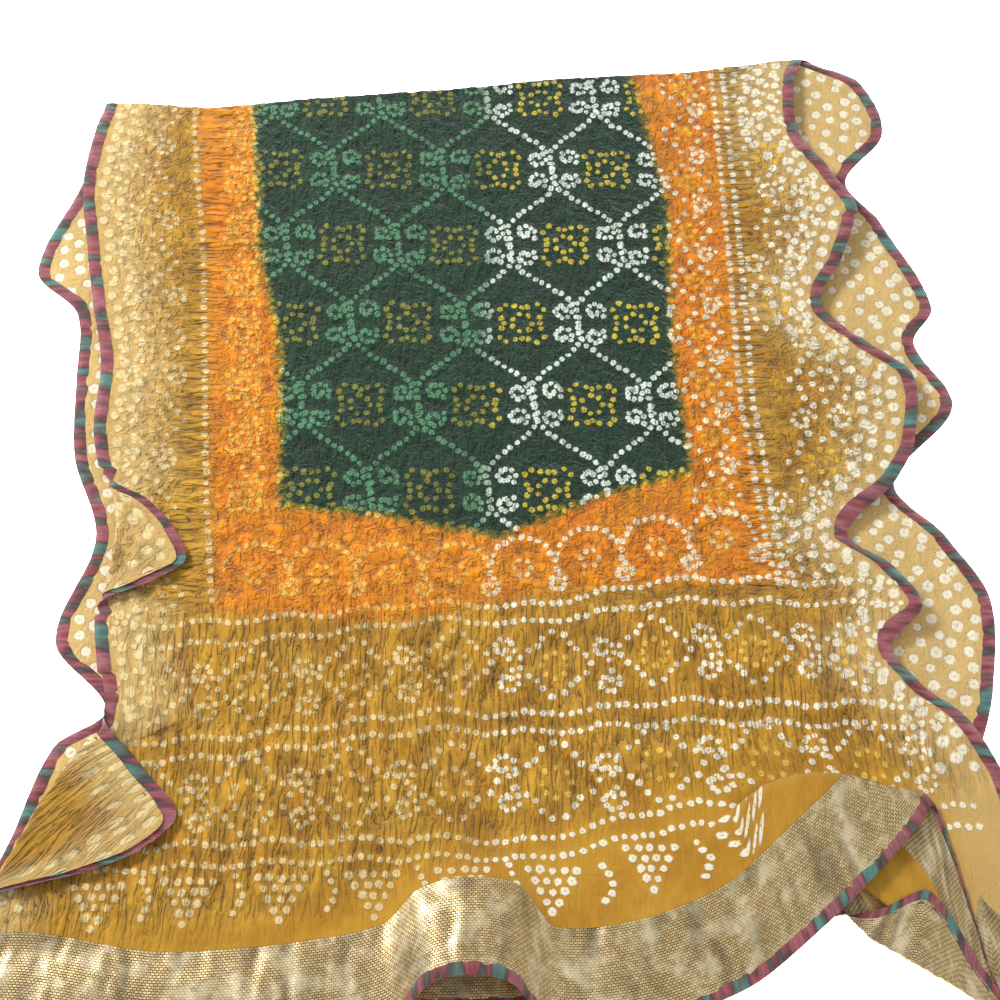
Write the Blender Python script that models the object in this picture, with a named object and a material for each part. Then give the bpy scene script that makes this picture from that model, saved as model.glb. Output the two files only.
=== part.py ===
"""A bandhani dupatta: a long tie-dyed shawl in mustard, orange and dark green, with a woven gold band
at each end and a narrow bound edge all round.

It is folded once across its length and laid down flat. The fold is at +Y, both ends are at -Y, and the
lower layer rests on the surface at z = 0. The puckered cloth is narrower than its own bound edges, so
these run in lobes, and some lobes have turned over onto the top. Near one corner the end is pleated.

Each layer is a grid of points on the middle of the cloth. A row runs across, from the left edge to the
right one, and a column runs from the end of the lower layer, round the fold, to the end of the top one.
"""

import math
from collections import namedtuple

import bpy
from mathutils import Vector

# Driving sizes, in metres.
CLOTH_HALF = 0.0006      # half of the thickness of the puckered cloth
BINDING_BACK = 0.0006   # how far the binding stands off the middle on the wrong side
PIECE_GAP = 0.0018       # between the cloth, the bands and the bindings
BAND_GAP = 0.0024        # the same between the cloth and a band
END_GAP = 0.0036         # the same between a band and the binding of the end
BINDING_WIDTH = 0.010
BAND_WIDTH = 0.060
FLOOR_MIDDLE = CLOTH_HALF    # middle of the lower layer, so that its underside is at z = 0
TOP_MIDDLE = 0.0050      # middle of the top layer where it lies flat
LIP_RADIUS = 0.0038      # bend of an edge that has turned over
PATH_STEPS = 24          # points on each leg of a way down the end
SOFT_STEPS = 1           # points either side over which a turn's height is softened
UNDER_ROWS = 24

# How far across the columns lie between the two edge strips: closer at the wave and in the pleat.
ACROSS = (0.10, 0.20, 0.29, 0.37, 0.425, 0.47, 0.515, 0.56, 0.65, 0.74, 0.80, 0.86, 0.91, 0.965)

END_ROWS = 18
UNDER_END_ROWS = 9
BAND_ROWS = 7
STEEPEST = 1.7           # widest that a binding is drawn where its edge runs slantwise

# One row for each bend of an edge: how far up the cloth, where the edge or its turn lies, how much cloth
# lies past the turn, and how high the edge stands off the layer.
EdgeRow = namedtuple("EdgeRow", "y x flap lift")

TOP_LEFT = [
    EdgeRow(y=0.384, x=-0.346, flap=-0.006, lift=0.000),
    EdgeRow(y=0.350, x=-0.352, flap=-0.006, lift=0.004),
    EdgeRow(y=0.290, x=-0.356, flap=-0.006, lift=0.008),
    EdgeRow(y=0.230, x=-0.347, flap=-0.006, lift=0.004),
    EdgeRow(y=0.180, x=-0.338, flap=-0.006, lift=0.006),
    EdgeRow(y=0.120, x=-0.326, flap=-0.006, lift=0.003),
    EdgeRow(y=0.060, x=-0.326, flap=-0.006, lift=0.006),
    EdgeRow(y=0.024, x=-0.319, flap=-0.006, lift=0.004),
    EdgeRow(y=0.008, x=-0.310, flap=0.008, lift=0.002),
    EdgeRow(y=-0.006, x=-0.305, flap=0.030, lift=0.001),
    EdgeRow(y=-0.030, x=-0.301, flap=0.048, lift=0.000),
    EdgeRow(y=-0.058, x=-0.302, flap=0.060, lift=0.000),
    EdgeRow(y=-0.076, x=-0.304, flap=0.038, lift=0.001),
    EdgeRow(y=-0.090, x=-0.307, flap=0.010, lift=0.002),
    EdgeRow(y=-0.104, x=-0.310, flap=-0.006, lift=0.005),
    EdgeRow(y=-0.150, x=-0.304, flap=-0.006, lift=0.007),
    EdgeRow(y=-0.190, x=-0.297, flap=0.004, lift=0.004),
    EdgeRow(y=-0.225, x=-0.322, flap=0.060, lift=0.000),
    EdgeRow(y=-0.262, x=-0.342, flap=0.108, lift=0.000),
    EdgeRow(y=-0.288, x=-0.354, flap=0.096, lift=0.000),
    EdgeRow(y=-0.304, x=-0.361, flap=0.066, lift=0.000),
    EdgeRow(y=-0.313, x=-0.368, flap=0.038, lift=0.000),
    EdgeRow(y=-0.322, x=-0.377, flap=0.012, lift=0.000),
    EdgeRow(y=-0.332, x=-0.392, flap=-0.006, lift=0.002),
]

TOP_RIGHT = [
    EdgeRow(y=0.432, x=0.268, flap=-0.006, lift=0.000),
    EdgeRow(y=0.405, x=0.259, flap=-0.006, lift=0.005),
    EdgeRow(y=0.350, x=0.259, flap=-0.006, lift=0.004),
    EdgeRow(y=0.306, x=0.283, flap=-0.006, lift=0.008),
    EdgeRow(y=0.264, x=0.303, flap=-0.006, lift=0.010),
    EdgeRow(y=0.220, x=0.288, flap=-0.003, lift=0.007),
    EdgeRow(y=0.178, x=0.268, flap=-0.003, lift=0.003),
    EdgeRow(y=0.140, x=0.297, flap=-0.006, lift=0.009),
    EdgeRow(y=0.106, x=0.334, flap=-0.006, lift=0.011),
    EdgeRow(y=0.046, x=0.331, flap=-0.006, lift=0.009),
    EdgeRow(y=0.012, x=0.314, flap=-0.006, lift=0.007),
    EdgeRow(y=-0.034, x=0.272, flap=-0.006, lift=0.003),
    EdgeRow(y=-0.064, x=0.304, flap=-0.006, lift=0.008),
    EdgeRow(y=-0.098, x=0.323, flap=-0.006, lift=0.010),
    EdgeRow(y=-0.128, x=0.298, flap=-0.006, lift=0.003),
    EdgeRow(y=-0.160, x=0.316, flap=-0.006, lift=0.007),
    EdgeRow(y=-0.190, x=0.349, flap=-0.006, lift=0.009),
    EdgeRow(y=-0.230, x=0.371, flap=-0.006, lift=0.006),
]

UNDER_LEFT = [
    EdgeRow(y=0.384, x=-0.346, flap=-0.006, lift=0.0),
    EdgeRow(y=0.310, x=-0.358, flap=-0.006, lift=0.0),
    EdgeRow(y=0.212, x=-0.389, flap=-0.006, lift=0.0),
    EdgeRow(y=0.172, x=-0.352, flap=-0.006, lift=0.0),
    EdgeRow(y=0.112, x=-0.347, flap=-0.006, lift=0.0),
    EdgeRow(y=0.040, x=-0.342, flap=-0.006, lift=0.0),
    EdgeRow(y=-0.034, x=-0.318, flap=-0.006, lift=0.0),
    EdgeRow(y=-0.122, x=-0.341, flap=-0.006, lift=0.0),
    EdgeRow(y=-0.178, x=-0.297, flap=-0.006, lift=0.0),
    EdgeRow(y=-0.206, x=-0.334, flap=-0.006, lift=0.0),
    EdgeRow(y=-0.270, x=-0.356, flap=-0.006, lift=0.0),
    EdgeRow(y=-0.332, x=-0.380, flap=-0.006, lift=0.0),
]

UNDER_RIGHT = [
    EdgeRow(y=0.432, x=0.278, flap=-0.006, lift=0.0),
    EdgeRow(y=0.412, x=0.318, flap=-0.006, lift=0.0),
    EdgeRow(y=0.355, x=0.334, flap=-0.006, lift=0.0),
    EdgeRow(y=0.304, x=0.298, flap=-0.006, lift=0.0),
    EdgeRow(y=0.262, x=0.325, flap=-0.006, lift=0.0),
    EdgeRow(y=0.178, x=0.360, flap=-0.006, lift=0.0),
    EdgeRow(y=0.144, x=0.342, flap=-0.006, lift=0.0),
    EdgeRow(y=0.084, x=0.368, flap=-0.006, lift=0.0),
    EdgeRow(y=0.014, x=0.314, flap=-0.006, lift=0.0),
    EdgeRow(y=-0.034, x=0.352, flap=-0.006, lift=0.0),
    EdgeRow(y=-0.086, x=0.380, flap=-0.006, lift=0.0),
    EdgeRow(y=-0.160, x=0.374, flap=-0.006, lift=0.0),
    EdgeRow(y=-0.230, x=0.352, flap=-0.006, lift=0.0),
]

# How many rows the top layer has down to each place on its left edge: more where a lobe turns over.
RowRun = namedtuple("RowRun", "to rows")

TOP_ROWS = [
    RowRun(to=0.384, rows=0),
    RowRun(to=0.016, rows=13),
    RowRun(to=-0.060, rows=7),
    RowRun(to=-0.104, rows=6),
    RowRun(to=-0.180, rows=3),
    RowRun(to=-0.228, rows=7),
    RowRun(to=-0.290, rows=3),
    RowRun(to=-0.332, rows=9),
]

# The lines across: the fold, and where each layer's end part starts, by how far across.
LineRow = namedtuple("LineRow", "x fold start")

LINES = [
    LineRow(x=-0.395, fold=0.384, start=-0.332),
    LineRow(x=-0.345, fold=0.384, start=-0.330),
    LineRow(x=-0.270, fold=0.379, start=-0.318),
    LineRow(x=-0.150, fold=0.391, start=-0.300),
    LineRow(x=-0.040, fold=0.400, start=-0.262),
    LineRow(x=0.060, fold=0.412, start=-0.232),
    LineRow(x=0.160, fold=0.418, start=-0.196),
    LineRow(x=0.240, fold=0.428, start=-0.190),
    LineRow(x=0.320, fold=0.431, start=-0.206),
    LineRow(x=0.380, fold=0.432, start=-0.232),
]

# One row for each way down the end part, by where it starts across: where it turns up under the pleat,
# where it turns down again over the ridge, where it ends, how high its middle and top layers stand over
# the first, and how high the end stands in its wave.
EndRow = namedtuple("EndRow", "x under ridge end mid top wave", defaults=(0, 0, 0))

TOP_END = [
    EndRow(x=-0.395, under=(-0.401, -0.362), ridge=(-0.406, -0.385), end=(-0.413, -0.422), wave=0.004),
    EndRow(x=-0.330, under=(-0.334, -0.362), ridge=(-0.338, -0.385), end=(-0.340, -0.420), wave=0.006),
    EndRow(x=-0.240, under=(-0.245, -0.362), ridge=(-0.245, -0.390), end=(-0.246, -0.434), wave=0.002),
    EndRow(x=-0.150, under=(-0.150, -0.350), ridge=(-0.150, -0.382), end=(-0.150, -0.428), wave=0.005),
    EndRow(x=-0.085, under=(-0.084, -0.334), ridge=(-0.083, -0.370), end=(-0.078, -0.414), wave=0.004),
    EndRow(x=-0.055, under=(-0.056, -0.302), ridge=(-0.055, -0.335), end=(-0.050, -0.388), wave=0.018),
    EndRow(x=-0.018, under=(-0.018, -0.294), ridge=(-0.018, -0.326), end=(-0.020, -0.382), wave=0.024),
    EndRow(x=0.016, under=(0.014, -0.290), ridge=(0.014, -0.330), end=(0.010, -0.388), wave=0.018),
    EndRow(x=0.040, under=(0.038, -0.312), ridge=(0.038, -0.352), end=(0.038, -0.416), wave=0.003),
    EndRow(x=0.100, under=(0.104, -0.300), ridge=(0.106, -0.345), end=(0.112, -0.410), wave=0.006),
    EndRow(x=0.150, under=(0.154, -0.252), ridge=(0.154, -0.272), end=(0.180, -0.384), top=0.004),
    EndRow(x=0.186, under=(0.202, -0.276), ridge=(0.202, -0.236), end=(0.236, -0.340), mid=0.005, top=0.0125),
    EndRow(x=0.226, under=(0.250, -0.308), ridge=(0.250, -0.231), end=(0.274, -0.304), mid=0.005, top=0.013),
    EndRow(x=0.262, under=(0.288, -0.338), ridge=(0.284, -0.242), end=(0.303, -0.273), mid=0.005, top=0.013),
    EndRow(x=0.290, under=(0.314, -0.360), ridge=(0.316, -0.253), end=(0.319, -0.258), mid=0.005, top=0.0085),
    EndRow(x=0.316, under=(0.336, -0.386), ridge=(0.338, -0.340), end=(0.338, -0.329), mid=0.005, top=0.005),
    EndRow(x=0.336, under=(0.358, -0.388), ridge=(0.358, -0.394), end=(0.358, -0.400), wave=0.001),
    EndRow(x=0.371, under=(0.404, -0.330), ridge=(0.414, -0.360), end=(0.436, -0.418), wave=0.004),
]

UNDER_END = [
    EndRow(x=-0.380, under=(-0.384, -0.360), ridge=(-0.386, -0.380), end=(-0.390, -0.412)),
    EndRow(x=-0.240, under=(-0.240, -0.360), ridge=(-0.240, -0.385), end=(-0.240, -0.420)),
    EndRow(x=-0.080, under=(-0.080, -0.330), ridge=(-0.080, -0.360), end=(-0.080, -0.404)),
    EndRow(x=0.060, under=(0.060, -0.310), ridge=(0.060, -0.350), end=(0.060, -0.398)),
    EndRow(x=0.130, under=(0.134, -0.320), ridge=(0.134, -0.345), end=(0.138, -0.382)),
    EndRow(x=0.196, under=(0.218, -0.304), ridge=(0.222, -0.320), end=(0.226, -0.338)),
    EndRow(x=0.228, under=(0.262, -0.350), ridge=(0.266, -0.344), end=(0.274, -0.330), mid=0.008, top=0.010),
    EndRow(x=0.254, under=(0.294, -0.372), ridge=(0.300, -0.350), end=(0.308, -0.318), mid=0.0125, top=0.0125),
    EndRow(x=0.298, under=(0.334, -0.398), ridge=(0.336, -0.390), end=(0.340, -0.372), mid=0.0125, top=0.0125),
    EndRow(x=0.330, under=(0.366, -0.428), ridge=(0.366, -0.423), end=(0.366, -0.412), mid=0.0115, top=0.0115),
    EndRow(x=0.352, under=(0.384, -0.424), ridge=(0.384, -0.428), end=(0.385, -0.431)),
]

MUSTARD = (0.58, 0.33, 0.03)
GOLD = (0.55, 0.42, 0.22)
ROSE = (0.36, 0.10, 0.12)


def lerp(a, b, part):
    return a + (b - a) * part


def smooth(part):
    part = min(1.0, max(0.0, part))
    return part * part * (3 - 2 * part)


def between(rows, key, at):
    """The row before this place, and how far on to the next one it lies."""
    places = [getattr(row, key) for row in rows]
    if places[0] > places[-1]:
        places = [-place for place in places]
        at = -at
    index = 0
    while index < len(rows) - 2 and at > places[index + 1]:
        index += 1
    part = (at - places[index]) / (places[index + 1] - places[index])
    return index, min(1.0, max(0.0, part))


def row_place(rows, key, index):
    return getattr(rows[min(len(rows) - 1, max(0, index))], key)


def column_value(rows, column, axis, index):
    value = row_place(rows, column, index)
    return value if axis is None else value[axis]


def slope_at(rows, key, column, axis, index):
    run = row_place(rows, key, index + 1) - row_place(rows, key, index - 1)
    rise = column_value(rows, column, axis, index + 1) - column_value(rows, column, axis, index - 1)
    return rise / run


def along(rows, key, at, column, axis=None):
    """A soft curve through one column of a table."""
    index, part = between(rows, key, at)
    span = row_place(rows, key, index + 1) - row_place(rows, key, index)
    here = column_value(rows, column, axis, index)
    there = column_value(rows, column, axis, index + 1)
    leave = 0.85 * span * slope_at(rows, key, column, axis, index)
    arrive = 0.85 * span * slope_at(rows, key, column, axis, index + 1)
    square = part * part
    cube = square * part
    return (
        (2 * cube - 3 * square + 1) * here
        + (cube - 2 * square + part) * leave
        + (3 * square - 2 * cube) * there
        + (cube - square) * arrive
    )


def slope_width(rows, y):
    """How much wider a binding is measured across, where its edge runs slantwise."""
    step = 0.006
    low = along(rows, "y", y - step, "x") - max(0.0, along(rows, "y", y - step, "flap"))
    high = along(rows, "y", y + step, "x") - max(0.0, along(rows, "y", y + step, "flap"))
    return min(STEEPEST, math.hypot(1.0, (high - low) / (2 * step)))


def edge_knots(rows, y):
    """Distances in from an edge, along the cloth, at which its columns lie."""
    bend = math.pi * LIP_RADIUS / 2
    width = BINDING_WIDTH * slope_width(rows, y)
    cloth = width + PIECE_GAP
    start = max(along(rows, "y", y, "flap") - bend, cloth + 0.010)
    return [
        0.0,
        width,
        cloth,
        lerp(cloth, start, 0.5),
        start,
        start + 0.5 * bend,
        start + bend,
        start + 1.5 * bend,
        start + 2 * bend,
    ]


def right_knots(rows, y):
    width = BINDING_WIDTH * slope_width(rows, y)
    return [0.0, width, width + PIECE_GAP, width + 0.020, width + 0.048]


def lip(rows, y, inward, side):
    """Where a point this far in from an edge lies across, and its height over the layer."""
    flap = along(rows, "y", y, "flap")
    turn = along(rows, "y", y, "x")
    lift = along(rows, "y", y, "lift") * smooth(1 - inward / 0.085)
    bend = math.pi * LIP_RADIUS / 2
    radius = LIP_RADIUS
    centre = turn + side * radius
    if flap <= -bend * 0.98:
        return turn + side * inward, lift
    angle = (inward - (flap - bend)) / radius
    if angle < 0:
        return centre + side * (flap - bend - inward), 2 * radius + lift
    if angle > math.pi:
        return centre + side * (inward - flap - bend), lift
    return centre - side * radius * math.sin(angle), radius * (1 + math.cos(angle)) + lift


def swell(x, y):
    """The low, uneven waves of the crinkled top layer."""
    wave = math.sin(31 * x + 9 * y) * math.sin(17 * y - 6 * x + 0.8)
    ripple = math.sin(58 * x - 23 * y + 1.1) * math.cos(44 * y + 1.9)
    return 0.0011 * (1 + wave) + 0.0006 * (1 + ripple)


def body_row(left, right, part, level, wavy):
    """One row of points across a layer: part is 0 at the fold and 1 where the end part starts."""
    y_left = lerp(along(LINES, "x", left[0].x, "fold"), left[-1].y, part)
    y_right = lerp(right[0].y, right[-1].y, part)
    knots_left = edge_knots(left, y_left)
    knots_right = right_knots(right, y_right)
    row = [lip(left, y_left, inward, 1) for inward in knots_left]
    ends = [lip(right, y_right, inward, -1) for inward in reversed(knots_right)]
    first = row[-1]
    last = ends[0]
    for share in ACROSS:
        height = first[1] * (1 - share) ** 4 + last[1] * share ** 4
        row.append((lerp(first[0], last[0], share), height))
    row.extend(ends)
    points = []
    for index, (x, height) in enumerate(row):
        share = min(1.0, max(0.0, (x - row[0][0]) / (row[-1][0] - row[0][0])))
        if index < len(knots_left):
            share = 0.0
        fold = along(LINES, "x", x, "fold")
        start = along(LINES, "x", x, "start")
        y = lerp(fold, start, part)
        y = lerp(y_left, y, smooth(share / 0.12))
        y = lerp(y, y_right, smooth((share - 0.9) / 0.1))
        lifted = swell(x, y) * smooth(part / 0.08) if wavy else 0.0
        points.append(Vector((x, y, level + height + lifted)))
    return points


def row_parts(runs):
    """Where the rows of a layer lie, 0 at the fold and 1 where the end part starts."""
    length = runs[0].to - runs[-1].to
    parts = [0.0]
    for before, run in zip(runs, runs[1:]):
        for step in range(1, run.rows + 1):
            parts.append((runs[0].to - lerp(before.to, run.to, step / run.rows)) / length)
    return parts


def end_path(table, start, level, steps):
    """The way down the end part from one point of its first row, as a run of close points."""
    legs = [Vector((start.x, start.y))]
    for name in ("under", "ridge", "end"):
        legs.append(Vector((along(table, "x", start.x, name, 0), along(table, "x", start.x, name, 1))))
    mid, top, wave = (max(0.0, along(table, "x", start.x, name)) for name in ("mid", "top", "wave"))
    heights = (start.z, level + mid, level + top)
    plan = []
    for leg, height in enumerate(heights):
        for step in range(steps):
            settled = lerp(height, level, smooth(step / steps)) if leg == 0 else height
            plan.append((legs[leg].lerp(legs[leg + 1], step / steps), settled))
    plan.append((legs[3], heights[2]))
    path = []
    for number, (place, _) in enumerate(plan):
        near = [height for _, height in plan[max(0, number - SOFT_STEPS):number + SOFT_STEPS + 1]]
        lifted = sum(near) / len(near) + wave * smooth(number / len(plan))
        path.append(Vector((place.x, place.y, lifted)))
    return path


def lengths(path):
    found = [0.0]
    for a, b in zip(path, path[1:]):
        found.append(found[-1] + (b - a).length)
    return found


def point_at(path, marks, distance):
    distance = min(marks[-1], max(0.0, distance))
    index = 0
    while index < len(marks) - 2 and marks[index + 1] < distance:
        index += 1
    span = marks[index + 1] - marks[index]
    return path[index].lerp(path[index + 1], (distance - marks[index]) / span if span else 0.0)


def end_rows(table, first_row, level, cloth_rows):
    """Every row of the end part: the plain cloth, the gold band and the binding of the end."""
    paths = [end_path(table, point, level, PATH_STEPS) for point in first_row]
    marks = [lengths(path) for path in paths]
    rows = []
    for step in range(1, cloth_rows + 1):
        share = step / cloth_rows
        rows.append([
            point_at(path, mark, share * (mark[-1] - BAND_WIDTH - BINDING_WIDTH - BAND_GAP - END_GAP))
            for path, mark in zip(paths, marks)
        ])
    back = [BINDING_WIDTH + END_GAP + BAND_WIDTH * (1 - step / BAND_ROWS) for step in range(BAND_ROWS + 1)]
    for distance in back + [BINDING_WIDTH, 0.0]:
        rows.append([point_at(path, mark, mark[-1] - distance) for path, mark in zip(paths, marks)])
    return rows


def fold_row(below, above, turn):
    """One row of the bend that joins the layers, turn running from 0 below to pi above."""
    row = []
    for low, high in zip(below, above):
        radius = (high.z - low.z) / 2
        share = (1 - math.cos(turn)) / 2
        middle = low.lerp(high, share)
        height = low.z + radius * (1 - math.cos(turn))
        row.append(Vector((middle.x, middle.y + radius * math.sin(turn), height)))
    return row


def apart(lines, index, step, seams):
    """The next line of the grid, or the one past it where only a seam's gap lies between."""
    other = index + step
    if (min(index, other), max(index, other)) in seams:
        other += step
    return min(len(lines) - 1, max(0, other))


def grid_normals(grid):
    last_row = len(grid) - 1
    last_column = len(grid[0]) - 1
    row_seams = [(1, 2), (BAND_ROWS + 2, BAND_ROWS + 3)]
    row_seams += [(last_row - high, last_row - low) for low, high in row_seams]
    column_seams = [(1, 2), (last_column - 2, last_column - 1)]
    normals = []
    for i, row in enumerate(grid):
        above = grid[apart(grid, i, -1, row_seams)]
        below = grid[apart(grid, i, 1, row_seams)]
        line = []
        for j in range(len(row)):
            down = below[j] - above[j]
            across = row[apart(row, j, 1, column_seams)] - row[apart(row, j, -1, column_seams)]
            line.append(down.cross(across).normalized())
        normals.append(line)
    for line in normals:
        for a, b in column_seams:
            line[a] = line[b] = (line[a] + line[b]).normalized()
    for a, b in row_seams:
        shared = [(one + other).normalized() for one, other in zip(normals[min(a, b)], normals[max(a, b)])]
        normals[a] = shared
        normals[b] = list(shared)
    return normals


def material(name, colour, roughness, metallic=0.0):
    made = bpy.data.materials.new(name)
    made.use_nodes = True
    shader = made.node_tree.nodes["Principled BSDF"]
    shader.inputs["Base Color"].default_value = (*colour, 1.0)
    shader.inputs["Roughness"].default_value = roughness
    shader.inputs["Metallic"].default_value = metallic
    return made


def sheet(name, grid, normals, rows, columns, face, back, surface):
    """One closed sheet over part of the grid, this far out on its face and on its back."""
    i0, i1 = rows
    j0, j1 = columns
    wide = j1 - j0 + 1
    long = i1 - i0 + 1
    points = []
    for side in (face, -back):
        for i in range(i0, i1 + 1):
            for j in range(j0, j1 + 1):
                points.append(grid[i][j] + normals[i][j] * side)
    under = wide * long
    faces = []
    for i in range(long - 1):
        for j in range(wide - 1):
            a = i * wide + j
            quad = (a, a + wide, a + wide + 1, a + 1)
            faces.append(quad)
            faces.append(tuple(under + corner for corner in reversed(quad)))
    rim = [j for j in range(wide)]
    rim += [i * wide + wide - 1 for i in range(1, long)]
    rim += [(long - 1) * wide + j for j in range(wide - 2, -1, -1)]
    rim += [i * wide for i in range(long - 2, 0, -1)]
    for a, b in zip(rim, rim[1:] + rim[:1]):
        faces.append((a, b, under + b, under + a))
    mesh = bpy.data.meshes.new(name)
    mesh.from_pydata([tuple(point) for point in points], [], faces)
    mesh.materials.append(surface)
    for polygon in mesh.polygons:
        polygon.use_smooth = True
    made = bpy.data.objects.new(name, mesh)
    bpy.context.collection.objects.link(made)
    return made


def build():
    for old in list(bpy.data.objects):
        bpy.data.objects.remove(old, do_unlink=True)
    top = [body_row(TOP_LEFT, TOP_RIGHT, part, TOP_MIDDLE, True) for part in row_parts(TOP_ROWS)]
    parts = [step / UNDER_ROWS for step in range(UNDER_ROWS + 1)]
    under = [body_row(UNDER_LEFT, UNDER_RIGHT, part, FLOOR_MIDDLE, False) for part in parts]
    top_end = end_rows(TOP_END, top[-1], TOP_MIDDLE, END_ROWS)
    under_end = end_rows(UNDER_END, under[-1], FLOOR_MIDDLE, UNDER_END_ROWS)
    bend = [fold_row(under[0], top[0], math.radians(turn)) for turn in (30, 70, 110, 150)]
    grid = list(reversed(under_end)) + list(reversed(under)) + bend + top + top_end
    everything = [point for row in grid for point in row]
    middle_x = (min(p.x for p in everything) + max(p.x for p in everything)) / 2
    middle_y = (min(p.y for p in everything) + max(p.y for p in everything)) / 2
    grid = [[point - Vector((middle_x, middle_y, 0)) for point in row] for row in grid]
    normals = grid_normals(grid)

    last_row = len(grid) - 1
    last_column = len(grid[0]) - 1
    band = BAND_ROWS
    puckered = material("mustard_georgette", MUSTARD, 0.85)
    zari = material("gold_zari", GOLD, 0.4, 0.7)
    satin = material("rose_satin", ROSE, 0.45)
    inner = (2, last_column - 2)
    thin = (CLOTH_HALF, CLOTH_HALF, puckered)
    woven = (CLOTH_HALF, CLOTH_HALF, zari)
    bound = (CLOTH_HALF, BINDING_BACK, satin)
    sheet("cloth", grid, normals, (band + 3, last_row - band - 3), inner, *thin)
    sheet("band_under", grid, normals, (2, band + 2), inner, *woven)
    sheet("band_top", grid, normals, (last_row - band - 2, last_row - 2), inner, *woven)
    sheet("binding_left", grid, normals, (0, last_row), (0, 1), *bound)
    sheet("binding_right", grid, normals, (0, last_row), (last_column - 1, last_column), *bound)
    sheet("binding_end_under", grid, normals, (0, 1), inner, *bound)
    sheet("binding_end_top", grid, normals, (last_row - 1, last_row), inner, *bound)


build()
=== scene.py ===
"""Looks of a bandhani dupatta: tie-dyed georgette, puckered where each dot was tied, folded once and laid
down. The fold is at +Y, the ends at -Y. Each layer is a fine grid on the same folds as the solid cloth;
the dots are laid out on the cloth as it would be if its edges and pleats were opened flat.
"""

import math
from collections import namedtuple

import bpy
import numpy as np
from mathutils.kdtree import KDTree
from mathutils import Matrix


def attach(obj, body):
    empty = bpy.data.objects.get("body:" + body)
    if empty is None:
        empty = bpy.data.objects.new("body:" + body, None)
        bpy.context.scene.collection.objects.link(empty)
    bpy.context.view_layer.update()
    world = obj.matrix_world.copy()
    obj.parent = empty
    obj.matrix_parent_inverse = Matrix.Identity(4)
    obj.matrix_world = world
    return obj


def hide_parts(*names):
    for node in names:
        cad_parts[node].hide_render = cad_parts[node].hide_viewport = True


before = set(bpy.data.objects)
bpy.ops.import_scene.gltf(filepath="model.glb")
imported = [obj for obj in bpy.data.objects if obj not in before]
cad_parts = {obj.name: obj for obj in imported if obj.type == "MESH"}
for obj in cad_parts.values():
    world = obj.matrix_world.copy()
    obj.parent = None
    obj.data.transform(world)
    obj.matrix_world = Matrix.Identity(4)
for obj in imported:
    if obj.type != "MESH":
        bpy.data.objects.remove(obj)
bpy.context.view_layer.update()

# Sizes shared with the solid cloth, in metres.
BINDING_WIDTH = 0.010
BAND_WIDTH = 0.060
PIECE_GAP = 0.0018
BAND_GAP = 0.0024
END_GAP = 0.0036
FLOOR_MIDDLE = 0.0006
TOP_MIDDLE = 0.0050
LIP_RADIUS = 0.0038
PATH_STEPS = 24
MIDDLE = (0.012968, -0.000043)   # middle of the laid cloth, which is put at the origin

# Points of the fine grid: across the cloth, and along it.
BINDING_COLUMNS = 5
LEFT_COLUMNS = 42
MIDDLE_COLUMNS = 232
RIGHT_COLUMNS = 22
TOP_ROWS = 270
UNDER_ROWS = 150
FOLD_ROWS = 8
END_ROWS = 46
UNDER_END_ROWS = 20
BAND_ROWS = 22

EdgeRow = namedtuple("EdgeRow", "y x flap lift")
LineRow = namedtuple("LineRow", "x fold start")
EndRow = namedtuple("EndRow", "x under ridge end mid top wave", defaults=(0, 0, 0))
Place = namedtuple("Place", "x y")
DotRow = namedtuple("DotRow", "left middle right")

TOP_LEFT = [
    EdgeRow(y=0.384, x=-0.346, flap=-0.006, lift=0.000),
    EdgeRow(y=0.350, x=-0.352, flap=-0.006, lift=0.004),
    EdgeRow(y=0.290, x=-0.356, flap=-0.006, lift=0.008),
    EdgeRow(y=0.230, x=-0.347, flap=-0.006, lift=0.004),
    EdgeRow(y=0.180, x=-0.338, flap=-0.006, lift=0.006),
    EdgeRow(y=0.120, x=-0.326, flap=-0.006, lift=0.003),
    EdgeRow(y=0.060, x=-0.326, flap=-0.006, lift=0.006),
    EdgeRow(y=0.024, x=-0.319, flap=-0.006, lift=0.004),
    EdgeRow(y=0.008, x=-0.310, flap=0.008, lift=0.002),
    EdgeRow(y=-0.006, x=-0.305, flap=0.030, lift=0.001),
    EdgeRow(y=-0.030, x=-0.301, flap=0.048, lift=0.000),
    EdgeRow(y=-0.058, x=-0.302, flap=0.060, lift=0.000),
    EdgeRow(y=-0.076, x=-0.304, flap=0.038, lift=0.001),
    EdgeRow(y=-0.090, x=-0.307, flap=0.010, lift=0.002),
    EdgeRow(y=-0.104, x=-0.310, flap=-0.006, lift=0.005),
    EdgeRow(y=-0.150, x=-0.304, flap=-0.006, lift=0.007),
    EdgeRow(y=-0.190, x=-0.297, flap=0.004, lift=0.004),
    EdgeRow(y=-0.225, x=-0.322, flap=0.060, lift=0.000),
    EdgeRow(y=-0.262, x=-0.342, flap=0.108, lift=0.000),
    EdgeRow(y=-0.288, x=-0.354, flap=0.096, lift=0.000),
    EdgeRow(y=-0.304, x=-0.361, flap=0.066, lift=0.000),
    EdgeRow(y=-0.313, x=-0.368, flap=0.038, lift=0.000),
    EdgeRow(y=-0.322, x=-0.377, flap=0.012, lift=0.000),
    EdgeRow(y=-0.332, x=-0.392, flap=-0.006, lift=0.002),
]

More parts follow.
